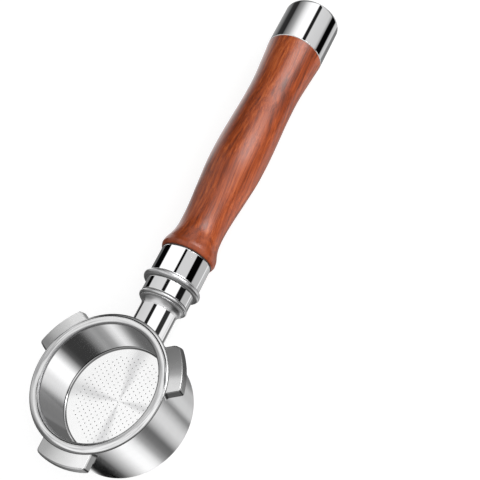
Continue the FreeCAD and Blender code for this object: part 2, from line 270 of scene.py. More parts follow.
def ramp(nt, value, stops, interp="LINEAR"):
    """stops: (position 0..1, grey level or colour)"""
    n = nt.nodes.new("ShaderNodeValToRGB")
    n.color_ramp.interpolation = interp
    el = n.color_ramp.elements
    while len(el) > 1:
        el.remove(el[-1])
    for i, (p, c) in enumerate(stops):
        e = el[0] if i == 0 else el.new(p)
        e.position = p
        e.color = (c, c, c, 1) if isinstance(c, (int, float)) else (*c, 1)
    nt.links.new(value, n.inputs[0])
    return n.outputs[0]


def srgb(v):
    v = v / 255.0
    return v / 12.92 if v <= 0.04045 else ((v + 0.055) / 1.055) ** 2.4


def rgb(r, g, b):
    return (srgb(r), srgb(g), srgb(b))


# ------------------------------------------------------------------ studio: what the metal sees
def build_world():
    w = bpy.data.worlds.new("studio")
    SCENE.world = w
    w.use_nodes = True
    nt = w.node_tree
    nt.nodes.clear()
    out = nt.nodes.new("ShaderNodeOutputWorld")
    bg = nt.nodes.new("ShaderNodeBackground")
    nt.links.new(bg.outputs[0], out.inputs[0])
    co = nt.nodes.new("ShaderNodeTexCoord")
    vec = co.outputs["Generated"]

    def dot(v):
        n = nt.nodes.new("ShaderNodeVectorMath")
        n.operation = "DOT_PRODUCT"
        nt.links.new(vec, n.inputs[0])
        n.inputs[1].default_value = v
        return n.outputs["Value"]

    to_cam = CAM_AT / MM - H0
    wv = to_cam - to_cam.dot(H) * H
    wv.normalize()
    xv = H.cross(wv)
    t = dot(H)
    turn = math_node(nt, "ARCTAN2", dot(xv), dot(wv))             # twice the turn of the normal from the camera's side
    turn01 = math_node(nt, "MULTIPLY_ADD", turn, 1 / (2 * math.pi), 0.5)
    z = dot(Vector((0, 0, 1)))
    az = math_node(nt, "ARCTAN2", dot(Vector((0, 1, 0))), dot(Vector((1, 0, 0))))
    az01 = math_node(nt, "MULTIPLY_ADD", az, 1 / (2 * math.pi), 0.5)

    def strips(stops):
        """stops: (turn of the normal in degrees -90..90, sRGB level), held until the next stop with a soft edge."""
        pts = []
        for a, g in stops:
            pts.append((min(max(a / 180 + 0.5, 0.0), 1.0), srgb(min(g, 255)) * (1.12 if g >= 250 else 1.06)))
        return ramp(nt, turn01, pts)

    neck = strips([(-90, 120), (-74, 120), (-72, 30), (-63, 30), (-60, 205), (-24, 214), (-22.5, 30), (-13.5, 30), (-12, 255),
                   (17, 255), (18.5, 48), (33, 50), (35, 240), (48, 238), (56, 205), (62, 110), (70, 110), (76, 190), (90, 212)])
    collar = strips([(-90, 120), (-66, 110), (-64, 4), (-53, 4), (-51, 205), (-18, 214), (-16.5, 20), (-10, 20), (-8.5, 255),
                     (17, 255), (18.5, 22), (33, 22), (35.5, 184), (68, 184), (72, 120), (90, 120)])
    ferrule = strips([(-90, 110), (-67, 90), (-65, 6), (-47.5, 6), (-46, 255), (-12, 255), (-11, 4), (-6.5, 4), (-5.5, 209),
                      (17.5, 209), (18.5, 3), (34, 3), (36, 182), (76, 184), (82, 150), (90, 145)])
    cap = strips([(-90, 180), (-76, 150), (-63, 112), (-57, 50), (-45, 38), (-42, 105), (-32, 160), (-22, 236), (-15, 255),
                  (-1.5, 255), (-0.5, 30), (5.5, 30), (6.5, 212), (29, 203), (34, 160), (36, 6), (49, 6), (51.5, 190), (66, 212),
                  (76, 180), (90, 200)])
    grip = ramp(nt, turn01, [(a / 180 + 0.5, g) for a, g in (
        (-90, 1.2), (-62, 1.5), (-52, 0.7), (-42, 0.02), (-14, 0.02), (-6, 2.9), (1, 7.4), (11, 7.2), (20, 1.5), (28, 0.1),
        (44, 0.1), (52, 0.9), (62, 0.9), (70, 0.25), (90, 0.15))])
    h = mixc(nt, smooth(nt, t, 0.3360, 0.3400), neck, collar)
    h = mixc(nt, smooth(nt, t, 0.3612, 0.3630), h, ferrule)
    h = mixc(nt, smooth(nt, t, 0.400, 0.408), h, grip)
    h = mixc(nt, smooth(nt, t, 0.588, 0.594), h, cap)

    # below: what the outside of the ring sees
    cam_mm = CAM_AT / MM

    def seen_from(alpha, radius, height):
        a = math.radians(alpha)
        d = Vector((radius * math.cos(a), radius * math.sin(a), height)) - cam_mm
        r = math.degrees(2 * a) + 180 - math.degrees(math.atan2(d.y, d.x))
        return (r + 180) % 360 / 360

    def around(levels, radius, height, gain=1.06):
        pts = sorted((seen_from(a, radius, height), srgb(min(g, 255)) * (1.1 if g >= 250 else gain)) for a, g in levels)
        first, last = pts[0], pts[-1]
        # closes the circle
        f = first[0] / max(first[0] + 1 - last[0], 1e-6)
        edge = first[1] + (last[1] - first[1]) * f
        pts = [(0.0, edge)] + pts + [(1.0, edge)]
        return ramp(nt, az01, pts)

    low = around([(-195, 250), (-184, 245), (-176, 75), (-171, 2), (-161, 2), (-155, 78), (-150, 150), (-145, 194), (-140, 232),
                  (-135, 255), (-130, 255), (-125, 238), (-120, 162), (-115, 117), (-110, 100), (-105, 186), (-100, 215),
                  (-95, 214), (-90, 182), (-85, 123), (-80, 206), (-74, 208), (-68, 190), (-61, 190), (-55, 149), (-50, 128),
                  (-40, 120), (-30, 122), (-22, 200)], 29.2, 15)
    well = around([(-16, 98), (-5, 98), (0, 104), (5, 123), (10, 166), (15, 214), (20, 236), (25, 213), (30, 162), (35, 146),
                   (40, 156), (45, 128), (50, 70), (54, 56), (65, 56), (70, 84), (75, 192), (80, 255), (90, 255), (95, 235),
                   (100, 223), (105, 203), (110, 142), (115, 95), (120, 84), (126, 92), (135, 99), (150, 98), (162, 97)], 25.2, 24)
    # overhead: what the rim, the lugs and the beads see
    fan = ramp(nt, az01, [((a + 180) / 360, srgb(g)) for a, g in (
        (-180, 168), (-168, 160), (-150, 140), (-130, 172), (-110, 205), (-92, 250), (-70, 215), (-50, 162), (-30, 130),
        (-10, 135), (10, 122), (30, 132), (50, 190), (70, 215), (88, 200), (108, 118), (130, 138), (150, 146), (168, 160), (180, 168))])
    top = mixc(nt, smooth(nt, z, 0.74, 0.82), fan, (srgb(252) * 1.04,) * 3)
    dark = (0.010, 0.010, 0.010)
    c = mixc(nt, smooth(nt, z, -0.02, 0.16), dark, top)
    level = mixc(nt, 1.0, well, (0.72,) * 3, "MULTIPLY")
    c = mixc(nt, smooth(nt, z, -0.09, -0.17), c, level)
    c = mixc(nt, smooth(nt, z, -0.50, -0.62), c, well)
    c = mixc(nt, smooth(nt, z, -0.8365, -0.8415), c, low)
    below = math_node(nt, "MULTIPLY", smooth(nt, z, -0.746, -0.754), smooth(nt, z, -0.894, -0.888))
    below = math_node(nt, "MULTIPLY", below, mixf(nt, smooth(nt, t, 0.590, 0.598), 1.0, 0.8))
    rest = math_node(nt, "SUBTRACT", 1.0, below)
    c = mixc(nt, math_node(nt, "MULTIPLY", smooth(nt, t, 0.25, 0.28), rest), c, h)

    # soft light for everything matt, stronger from the side that faces right in the view
    side = (wv * math.cos(math.radians(50)) + xv * math.sin(math.radians(50)))
    soft = mixc(nt, smooth(nt, dot(side), -0.20, 0.9), (0.10,) * 3, (1.95,) * 3)
    lp = nt.nodes.new("ShaderNodeLightPath")
    matt = mixc(nt, lp.outputs["Is Diffuse Ray"], (1.0, 1.0, 1.0), soft)
    white = mixc(nt, lp.outputs["Is Glossy Ray"], matt, c)
    nt.links.new(white, bg.inputs["Color"])
    bg.inputs["Strength"].default_value = 1.0
    return w


build_world()


def area(name, at, target, size, power, color=(1, 1, 1)):
    d = bpy.data.lights.new(name, "AREA")
    d.shape = "DISK"
    d.size = size
    d.energy = power
    d.color = color
    o = bpy.data.objects.new(name, d)
    SCENE.collection.objects.link(o)
    o.location = at
    o.rotation_euler = (Vector(target) - Vector(at)).to_track_quat("-Z", "Y").to_euler()
    o.visible_glossy = False
    return o


area("key", (-0.25, -0.55, 0.9), (0.08, 0, 0), 0.7, 1.5)

# floor: touches the far edge of the holder's foot and the end cap
FOOT_X, CAP_X, CAP_Z = -28.3, 216.0, -8.05
tilt = math.atan2(-CAP_Z, CAP_X - FOOT_X)


def build_floor():
    bm = bmesh.new()
    n = 40
    grid = []
    for i in range(n + 1):
        row = []
        for j in range(n + 1):
            x = (i / n - 0.5) * 3.2
            y = (j / n - 0.5) * 3.2
            zz = -(x - FOOT_X * MM) * math.tan(tilt) - 0.00006
            row.append(bm.verts.new((x, y, zz)))
        grid.append(row)
    for i in range(n):
        for j in range(n):
            bm.faces.new((grid[i][j], grid[i + 1][j], grid[i + 1][j + 1], grid[i][j + 1]))
    me = bpy.data.meshes.new("floor")
    bm.to_mesh(me)
    bm.free()
    ob = link("floor", me)
    m, nt, b = material("floor_paper")
    b.inputs["Base Color"].default_value = (0.34, 0.34, 0.34, 1)
    b.inputs["Roughness"].default_value = 0.9
    b.inputs["Emission Color"].default_value = (1, 1, 1, 1)
    b.inputs["Emission Strength"].default_value = 0.78
    me.materials.append(m)
    ob.visible_glossy = False
    return ob


build_floor()


# ------------------------------------------------------------------ materials
def handle_coords(nt):
    """Object coordinates in metres, turned so that X runs along the handle."""
    tc = nt.nodes.new("ShaderNodeTexCoord")
    mp = nt.nodes.new("ShaderNodeMapping")
    mp.vector_type = "POINT"
    # inverse of the handle's turn: move the axis to the origin, then turn it level
    sh = nt.nodes.new("ShaderNodeVectorMath")
    sh.operation = "SUBTRACT"
    nt.links.new(tc.outputs["Object"], sh.inputs[0])
    sh.inputs[1].default_value = (0, 0, AXIS_Z * MM)
    nt.links.new(sh.outputs[0], mp.inputs["Vector"])
    mp.inputs["Rotation"].default_value = (0, -DROOP, 0)
    return mp.outputs[0]


def bump(nt, height, bsdf, strength, distance):
    n = nt.nodes.new("ShaderNodeBump")
    n.inputs["Strength"].default_value = strength
    n.inputs["Distance"].default_value = distance
    nt.links.new(height, n.inputs["Height"])
    nt.links.new(n.outputs[0], bsdf.inputs["Normal"])
    return n


def scaled(nt, vec, sc):
    n = nt.nodes.new("ShaderNodeVectorMath")
    n.operation = "MULTIPLY"
    nt.links.new(vec, n.inputs[0])
    n.inputs[1].default_value = sc
    return n.outputs[0]


def noise(nt, vec, scale, detail=3.0, rough=0.5, distortion=0.0):
    n = nt.nodes.new("ShaderNodeTexNoise")
    n.inputs["Scale"].default_value = scale
    n.inputs["Detail"].default_value = detail
    n.inputs["Roughness"].default_value = rough
    n.inputs["Distortion"].default_value = distortion
    nt.links.new(vec, n.inputs["Vector"])
    return n.outputs["Fac"]


def chrome(name, base=(0.94, 0.94, 0.945), rough=0.0):
    m, nt, b = material(name)
    b.inputs["Metallic"].default_value = 1.0
    vec = handle_coords(nt)
    haze = noise(nt, vec, 260.0, 4.0, 0.6)
    wipe = noise(nt, scaled(nt, vec, (900, 2600, 2600)), 1.0, 2.0, 0.5)
    rr = math_node(nt, "MULTIPLY_ADD", haze, 0.02, rough)
    rr = math_node(nt, "MULTIPLY_ADD", wipe, 0.006, rr)
    tone = ramp(nt, haze, [(0.3, tuple(c * 0.985 for c in base)), (0.7, base)])
    # beads and flare: brushed around, satin, with dark lines on the joints between parts and painted shade in the
    # creases where the beads meet the polished lengths
    sep = nt.nodes.new("ShaderNodeSeparateXYZ")
    nt.links.new(vec, sep.inputs[0])
    s = sep.outputs[0]

    def span(a, b_, soft=0.0002):
        return math_node(nt, "MULTIPLY", smooth(nt, s, a - soft, a + soft), smooth(nt, s, b_ + soft, b_ - soft))
    satin = math_node(nt, "ADD", span(0.0414, 0.04678, 0.0002), span(0.0532, 0.05615, 0.00015), clamp=True)
    brushed = noise(nt, scaled(nt, vec, (5200.0, 90.0, 90.0)), 1.0, 3.0, 0.6)
    rr = math_node(nt, "MULTIPLY_ADD", satin, 0.30, rr)
    nt.links.new(rr, b.inputs["Roughness"])
    grey = ramp(nt, brushed, [(0.3, (0.56, 0.56, 0.565)), (0.7, (0.84, 0.84, 0.845))])
    tone = mixc(nt, satin, tone, grey)
    # dark lines: those at 44.9 and 53.2 mm sit on the part joints; those at the bead ends are painted crease shade
    lines = math_node(nt, "ADD", span(0.04482, 0.04502, 0.00006), span(0.04672, 0.04694, 0.00006))
    lines = math_node(nt, "ADD", lines, span(0.05312, 0.05330, 0.00006))
    lines = math_node(nt, "ADD", lines, span(0.05605, 0.05627, 0.00008), clamp=True)
    tone = mixc(nt, math_node(nt, "MULTIPLY", lines, 0.8), tone, (0.07, 0.07, 0.07))
    nt.links.new(tone, b.inputs["Base Color"])
    bump(nt, wipe, b, 0.02, 0.00002)
    return m


def steel(name, base, rough, lines=0.25, line_scale=2200.0, haze_amt=0.06):
    """Stainless: fine turning or polishing lines around the axis, faint haze and hairline scratches."""
    m, nt, b = material(name)
    b.inputs["Metallic"].default_value = 1.0
    tc = nt.nodes.new("ShaderNodeTexCoord")
    vec = tc.outputs["Object"]
    turn = noise(nt, scaled(nt, vec, (60.0, 60.0, line_scale)), 1.0, 4.0, 0.65)
    haze = noise(nt, vec, 120.0, 4.0, 0.55)
    scr = noise(nt, scaled(nt, vec, (400.0, 3000.0, 1500.0)), 1.0, 2.0, 0.4)
    tone = ramp(nt, turn, [(0.25, tuple(c * 0.95 for c in base)), (0.75, tuple(min(c * 1.02, 1) for c in base))])
    sep = nt.nodes.new("ShaderNodeSeparateXYZ")
    nt.links.new(vec, sep.inputs[0])
    x, y, z = sep.outputs
    r = math_node(nt, "SQRT", math_node(nt, "ADD", math_node(nt, "MULTIPLY", x, x), math_node(nt, "MULTIPLY", y, y)))
    around_z = math_node(nt, "ARCTAN2", y, x)
    return m, nt, b, dict(vec=vec, turn=turn, haze=haze, scr=scr, tone=tone, x=x, y=y, z=z, r=r, a=around_z, rough=rough,
                          haze_amt=haze_amt, lines=lines)


def close_steel(nt, b, k, tone, rough):
    rr = math_node(nt, "MULTIPLY_ADD", k["haze"], k["haze_amt"], rough)
    rr = math_node(nt, "MULTIPLY_ADD", k["turn"], 0.05, rr)
    nt.links.new(rr, b.inputs["Roughness"])
    nt.links.new(tone, b.inputs["Base Color"])
    hgt = math_node(nt, "MULTIPLY_ADD", k["scr"], 0.4, k["turn"])
    bump(nt, hgt, b, k["lines"], 0.00001)


def ring_lines(nt, r, a, fine, along):
    """Noise drawn out around the axis: fine in radius, long in angle."""
    cb = nt.nodes.new("ShaderNodeCombineXYZ")
    nt.links.new(math_node(nt, "MULTIPLY", r, fine), cb.inputs[0])
    nt.links.new(math_node(nt, "MULTIPLY", math_node(nt, "COSINE", a), along), cb.inputs[1])
    nt.links.new(math_node(nt, "MULTIPLY", math_node(nt, "SINE", a), along), cb.inputs[2])
    return noise(nt, cb.outputs[0], 1.0, 3.0, 0.6)


def holder_steel():
    m, nt, b, k = steel("holder_stainless", (0.93, 0.93, 0.935), 0.07, lines=0.12)
    # lugs: turned on their faces, satin, with tool marks; their tone rising and falling around the ring is painted
    # light and shade
    lug = smooth(nt, k["r"], 0.0294, 0.0299)
    marks = ring_lines(nt, k["r"], k["a"], 4200.0, 3.0)
    deg = math_node(nt, "MULTIPLY_ADD", k["a"], 0.5 / math.pi, 0.5)

    def at(d):
        return (d + 180.0) / 360.0 % 1.0
    # painted light and shade: the lugs' tone set by the angle around the ring
    lug_painted_light = ramp(nt, deg, [(0.0, 0.74), (at(-166), 0.98), (at(-150), 0.98), (at(-90), 0.80), (at(-76), 0.78), (at(-71), 0.73),
                         (at(-67), 0.42), (at(-62), 0.29), (at(-55), 0.23), (at(-47), 0.20), (at(-20), 0.5), (at(40), 0.90),
                         (at(50), 0.86), (at(54), 0.75), (at(60), 0.63), (at(66), 0.51), (at(70), 0.36), (at(74), 0.27),
                         (at(120), 0.35), (at(166), 0.45), (1.0, 0.74)])
    satin = mixc(nt, math_node(nt, "MULTIPLY_ADD", marks, 0.7, -0.15, clamp=True), lug_painted_light, (0.9, 0.9, 0.9), "MULTIPLY")
    # painted shade: the lugs' sides below their tops are darkened
    side = math_node(nt, "MULTIPLY", lug, smooth(nt, k["z"], 0.0327, 0.0323))
    tone = mixc(nt, lug, k["tone"], satin)
    tone = mixc(nt, math_node(nt, "MULTIPLY", side, 0.75), tone, (0.12, 0.12, 0.12))
    rough = mixf(nt, lug, 0.06, 0.22)
    close_steel(nt, b, k, tone, rough)
    return m


def basket_steel():
    m, nt, b, k = steel("basket_stainless", (0.94, 0.94, 0.945), 0.05, lines=0.06)
    tone = k["tone"]
    # pierced floor: brushed in circles; the faint fans and radial streaks that this brushing shows in reflection are
    # painted into its colour as painted reflection
    floor = math_node(nt, "MULTIPLY", smooth(nt, k["z"], 0.0126, 0.0121), smooth(nt, k["z"], 0.0117, 0.0119))
    floor = math_node(nt, "MULTIPLY", floor, smooth(nt, k["r"], 0.0243, 0.0236))
    waver = noise(nt, k["vec"], 90.0, 2.0, 0.5)
    turn2 = math_node(nt, "ABSOLUTE", math_node(nt, "SINE", math_node(nt, "MULTIPLY_ADD", waver, 0.5, math_node(nt, "MULTIPLY_ADD", k["a"], 2.0, -0.30))))
    painted_fans = smooth(nt, turn2, 0.62, 0.0)
    painted_fan_streaks = ring_lines(nt, k["r"], k["a"], 260.0, 34.0)
    lines = ring_lines(nt, k["r"], k["a"], 5200.0, 2.0)
    painted_fan_shade = math_node(nt, "MULTIPLY_ADD", painted_fan_streaks, 0.45, 0.75)
    painted_fan_shade = math_node(nt, "MULTIPLY", painted_fan_shade, painted_fans)
    painted_floor_reflection = mixc(nt, painted_fan_shade, (1.0, 1.0, 1.0), (0.74, 0.74, 0.745))
    painted_floor_reflection = mixc(nt, math_node(nt, "MULTIPLY", lines, 0.12), painted_floor_reflection, (0.6, 0.6, 0.6))
    tone = mixc(nt, floor, tone, painted_floor_reflection)
    # inside of the holes: painted shade
    painted_hole_shade = math_node(nt, "MULTIPLY", smooth(nt, k["z"], 0.01199, 0.01197), smooth(nt, k["z"], 0.01152, 0.01154))
    painted_hole_shade = math_node(nt, "MULTIPLY", painted_hole_shade, smooth(nt, k["r"], 0.0218, 0.0215))
    tone = mixc(nt, painted_hole_shade, tone, (0.05, 0.05, 0.05))
    # rolled rim: polished a little less than the wall; the light and dark bands around it are painted reflection, and
    # its inner part is a little darker as painted shade
    rim = smooth(nt, k["z"], 0.0334, 0.0338)
    wavy = ring_lines(nt, k["r"], k["a"], 1100.0, 1.6)
    rim_painted_bands = ramp(nt, wavy, [(0.36, (0.50, 0.50, 0.505)), (0.47, (0.80, 0.80, 0.805)), (0.60, (0.95, 0.95, 0.95))])
    tone = mixc(nt, rim, tone, rim_painted_bands)
    tone = mixc(nt, math_node(nt, "MULTIPLY", rim, smooth(nt, k["r"], 0.0281, 0.0274)), tone, (0.80, 0.80, 0.80), "MULTIPLY")
    # painted shade: a dark line at the top of the wall, just inside the rim
    inner = math_node(nt, "MULTIPLY", smooth(nt, k["z"], 0.0329, 0.0333), smooth(nt, k["r"], 0.0264, 0.0259))
    tone = mixc(nt, inner, tone, (0.34, 0.34, 0.345))
    # painted shade: a dark line along the rim's outer edge
    outer = math_node(nt, "MULTIPLY", rim, smooth(nt, k["r"], 0.0293, 0.0299))
    tone = mixc(nt, outer, tone, (0.26, 0.26, 0.26))
    # the small fillet at the foot of the wall lies in shade
    line_a = smooth(nt, k["z"], 0.0124, 0.01225)
    line_b = math_node(nt, "MULTIPLY", smooth(nt, k["z"], 0.0127, 0.0128), smooth(nt, k["z"], 0.0133, 0.0131))
    foot = math_node(nt, "MULTIPLY", smooth(nt, k["r"], 0.0236, 0.0238), math_node(nt, "ADD", line_a, line_b, clamp=True))
    tone = mixc(nt, math_node(nt, "MULTIPLY", foot, 0.85), tone, (0.05, 0.05, 0.05))
    rim_rough = mixf(nt, rim, 0.04, mixf(nt, outer, 0.06, 0.34))
    close_steel(nt, b, k, tone, mixf(nt, floor, mixf(nt, inner, rim_rough, 0.42), 0.14))
    return m


def wood():
    m, nt, b = material("grip_rosewood")
    vec = handle_coords(nt)
    # slow bend of the grain
    warp = nt.nodes.new("ShaderNodeTexNoise")
    warp.inputs["Scale"].default_value = 1.0
    warp.inputs["Detail"].default_value = 2.5
    nt.links.new(scaled(nt, vec, (14.0, 34.0, 34.0)), warp.inputs["Vector"])
    off = nt.nodes.new("ShaderNodeVectorMath")
    off.operation = "MULTIPLY_ADD"
    nt.links.new(warp.outputs["Color"], off.inputs[0])
    off.inputs[1].default_value = (0.0, 0.012, 0.012)
    nt.links.new(vec, off.inputs[2])
    v = off.outputs[0]
    # the grain runs a little askew through the turned shape
    mp = nt.nodes.new("ShaderNodeMapping")
    mp.inputs["Rotation"].default_value = (0.0, 0.15, 0.0)
    nt.links.new(v, mp.inputs["Vector"])
    g = mp.outputs[0]
    lay = nt.nodes.new("ShaderNodeTexWave")
    lay.wave_type = "RINGS"
    lay.rings_direction = "X"
    lay.wave_profile = "SIN"
    lay.inputs["Scale"].default_value = 150.0
    lay.inputs["Distortion"].default_value = 2.6
    lay.inputs["Detail"].default_value = 3.0
    lay.inputs["Detail Scale"].default_value = 1.6
    lay.inputs["Detail Roughness"].default_value = 0.6
    centre = nt.nodes.new("ShaderNodeMapping")
    centre.inputs["Location"].default_value = (0.0, 0.034, -0.021)
    centre.inputs["Scale"].default_value = (0.16, 1.0, 1.0)
    nt.links.new(g, centre.inputs["Vector"])
    nt.links.new(centre.outputs[0], lay.inputs["Vector"])
    bands = lay.outputs["Fac"]
    broad = noise(nt, scaled(nt, g, (10.0, 95.0, 95.0)), 1.0, 3.0, 0.5)
    streak = noise(nt, scaled(nt, g, (17.0, 760.0, 760.0)), 1.0, 4.0, 0.62)
    fibre = noise(nt, scaled(nt, g, (60.0, 3200.0, 3200.0)), 1.0, 3.0, 0.62)
    t1 = math_node(nt, "MULTIPLY_ADD", bands, 0.05, math_node(nt, "MULTIPLY", broad, 0.36))
    t2 = math_node(nt, "MULTIPLY_ADD", streak, 0.48, t1)
    t3 = math_node(nt, "MULTIPLY_ADD", fibre, 0.36, t2)
    # the flared nose was sanded smoother, so its grain is calmer
    cut = nt.nodes.new("ShaderNodeSeparateXYZ")
    nt.links.new(vec, cut.inputs[0])
    calm = smooth(nt, cut.outputs[0], 0.0795, 0.0725)
    t3 = mixf(nt, calm, t3, math_node(nt, "MULTIPLY_ADD", t3, 0.38, 0.375))
    tone = ramp(nt, t3, [
        (0.45, rgb(78, 30, 9)), (0.53, rgb(108, 43, 12)), (0.59, rgb(134, 55, 15)), (0.65, rgb(153, 66, 21)),
        (0.72, rgb(173, 83, 34)), (0.82, rgb(190, 104, 54))])
    # darker pores, short and along the grain
    pores = noise(nt, scaled(nt, g, (170.0, 4200.0, 4200.0)), 1.0, 2.0, 0.5)
    pm = smooth(nt, pores, 0.60, 0.70)
    tone = mixc(nt, math_node(nt, "MULTIPLY", pm, 0.5), tone, rgb(84, 32, 14))
    # a few dark lines that cross the grain at a slant
    slant = nt.nodes.new("ShaderNodeMapping")
    slant.inputs["Rotation"].default_value = (0.0, 0.32, 0.0)
    nt.links.new(v, slant.inputs["Vector"])
    vein = noise(nt, scaled(nt, slant.outputs[0], (22.0, 300.0, 300.0)), 1.0, 3.0, 0.6, 0.5)
    vm = smooth(nt, vein, 0.60, 0.68)
    tone = mixc(nt, math_node(nt, "MULTIPLY", vm, 0.40), tone, rgb(96, 40, 22))
    # dull dark line where the wood meets the black ring
    tone = mixc(nt, math_node(nt, "MULTIPLY", smooth(nt, cut.outputs[0], 0.06995, 0.06965), 0.7), tone, rgb(40, 16, 8))
    nt.links.new(tone, b.inputs["Base Color"])
    rr = math_node(nt, "MULTIPLY_ADD", fibre, 0.12, 0.24)
    nt.links.new(rr, b.inputs["Roughness"])
    b.inputs["Coat Weight"].default_value = 0.22
    b.inputs["Coat Roughness"].default_value = 0.18
    b.inputs["Specular IOR Level"].default_value = 0.5
    hgt = math_node(nt, "MULTIPLY_ADD", pores, -0.6, streak)
    bump(nt, hgt, b, 0.36, 0.00005)
    return m


def rubber():
    m, nt, b = material("gasket_rubber")
    tc = nt.nodes.new("ShaderNodeTexCoord")
    g = noise(nt, tc.outputs["Object"], 900.0, 3.0, 0.6)
    nt.links.new(ramp(nt, g, [(0.3, (0.008, 0.008, 0.008)), (0.7, (0.02, 0.02, 0.02))]), b.inputs["Base Color"])
    nt.links.new(math_node(nt, "MULTIPLY_ADD", g, 0.15, 0.55), b.inputs["Roughness"])
    bump(nt, g, b, 0.2, 0.00003)
    return m


def metal_small(name, base, rough):
    m, nt, b = material(name)
    b.inputs["Metallic"].default_value = 1.0
    vec = handle_coords(nt)
    g = noise(nt, vec, 700.0, 4.0, 0.6)
    rings = noise(nt, scaled(nt, vec, (3000.0, 200.0, 200.0)), 1.0, 2.0, 0.5)
    nt.links.new(ramp(nt, g, [(0.3, tuple(c * 0.88 for c in base)), (0.7, base)]), b.inputs["Base Color"])
    nt.links.new(math_node(nt, "MULTIPLY_ADD", g, 0.15, rough), b.inputs["Roughness"])
    bump(nt, rings, b, 0.15, 0.00002)
    return m


M_CHROME = chrome("arm_chrome")
M_CAP = chrome("cap_chrome")
M_HOLDER = holder_steel()
M_BASKET = basket_steel()
M_WOOD = wood()
M_RUBBER = rubber()
M_SPRING = metal_small("spring_wire", (0.62, 0.62, 0.63), 0.25)
M_ZINC = metal_small("zinc_plate", (0.7, 0.71, 0.74), 0.32)
M_BRASS = metal_small("turned_brass", (0.78, 0.58, 0.28), 0.24)
M_PIN = metal_small("ground_pin", (0.72, 0.72, 0.73), 0.16)

NODE_MATERIAL = {
    "filter_holder_head": M_HOLDER, "retaining_spring": M_SPRING, "front_spring_washer": M_SPRING,
    "rear_disc_spring": M_SPRING, "tie_rod": M_ZINC, "front_washer": M_ZINC, "front_lock_nut": M_ZINC,
    "rear_washer": M_ZINC, "rear_lock_nut": M_ZINC, "front_bush": M_BRASS, "rear_bush": M_BRASS,
    "anti_turn_pins": M_PIN, "ferrule_gasket": M_RUBBER, "cap_seal_ring": M_RUBBER,
    "neck_arm": M_CHROME, "neck_collar": M_CHROME, "ferrule": M_CHROME, "end_cap": M_CAP,
    "wood_grip": M_WOOD, "filter_basket": M_BASKET,
}
for node, mat in NODE_MATERIAL.items():
    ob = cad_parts[node]
    ob.visible_glossy = False
    if not ob.material_slots:
        ob.data.materials.append(mat)
    for slot in ob.material_slots:
        slot.material = mat


def piece(ob, body, node, mat):
    ob.data.materials.clear()
    ob.data.materials.append(mat)
    ob.visible_glossy = False
    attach(ob, body)
    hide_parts(node)
    return ob


# ------------------------------------------------------------------ handle pieces
NECK_R, NECK_END, FLARE_R = 8.4, 44.9, 10.5
COLLAR_R, COLLAR_BEAD_R, COLLAR_BEAD_W, COLLAR_END = 11.0, 11.3, 2.4, 53.2
BEAD_R, BEAD_W, FERRULE_R, FERRULE_END = 13.4, 3.6, 11.8, 69.2
GASKET_T, CAVITY_R, WEB_END, SPIGOT_R, SPIGOT_START = 0.35, 10.2, 56.4, 10.1, 60.2
WOOD_END, CAP_START, CAP_END, CAP_R, CAP_EDGE = 194.0, 194.3, 220.0, 14.25, 2.8
CAP_CAVITY_R, CAP_CAVITY_END, REAR_SPIGOT_R, REAR_SPIGOT_END = 11.8, 208.5, 11.7, 199.0
ROD_R, ROD_END, ROD_CLEAR, BUSH_R, BUSH_L, WOOD_BORE_R = 4.0, 215.0, 4.15, 7.0, 10.0, 4.6
GRIP = [
    (71.7, 12.95), (73.6, 12.72), (75.6, 12.05), (77.6, 11.38), (79.8, 10.88), (83.0, 10.55),
    (87.4, 10.5), (91.5, 10.66), (97.5, 11.1), (103.6, 11.7), (109.9, 12.28), (116.1, 12.84),
    (122.5, 13.17), (129.0, 13.25), (135.5, 13.17), (142.1, 12.94), (148.7, 12.68), (155.5, 12.4),
    (162.4, 12.28), (168.0, 12.28), (173.0, 12.45), (178.7, 12.86), (183.5, 13.26), (188.3, 13.66),
    (191.4, 13.96), (194.0, 14.2),
]

# collar
c0 = NECK_END + 0.02
bw = COLLAR_BEAD_W - 0.5
br = bw / 2
collar_loop = [(c0, ROD_CLEAR)] + arc_pts((c0 + br, COLLAR_BEAD_R - br), br, 180, 20, 16) + [
    (c0 + bw + 0.02, COLLAR_R - 0.16), (c0 + bw + 0.1, COLLAR_R - 0.05),
    (c0 + bw + 0.2, COLLAR_R), (COLLAR_END - 0.17, COLLAR_R), (COLLAR_END - 0.07, COLLAR_R - 0.03),
    (COLLAR_END - 0.02, COLLAR_R - 0.12), (COLLAR_END - 0.02, ROD_CLEAR)]
piece(lathe("collar", collar_loop), "holder", "neck_collar", M_CHROME)

# ferrule
b0 = COLLAR_END
fw = BEAD_W - 0.6
ferrule_loop = [(b0, ROD_CLEAR)] + arc_pts((b0 + 1.4, BEAD_R - 1.4), 1.4, 180, 90, 14) \
    + arc_pts((b0 + fw - 1.4, BEAD_R - 1.4), 1.4, 90, 6, 14) + spline([
        (b0 + fw + 0.02, FERRULE_R + 0.2), (b0 + fw + 0.08, FERRULE_R + 0.08),
        (b0 + fw + 0.2, FERRULE_R + 0.02), (b0 + fw + 0.35, FERRULE_R)], 8) + [
    (FERRULE_END - 0.3, FERRULE_R), (FERRULE_END - 0.09, FERRULE_R - 0.09), (FERRULE_END, FERRULE_R - 0.3),
    (FERRULE_END, CAVITY_R), (WEB_END, CAVITY_R), (WEB_END, ROD_CLEAR)]
piece(lathe("ferrule_sleeve", ferrule_loop), "holder", "ferrule", M_CHROME)

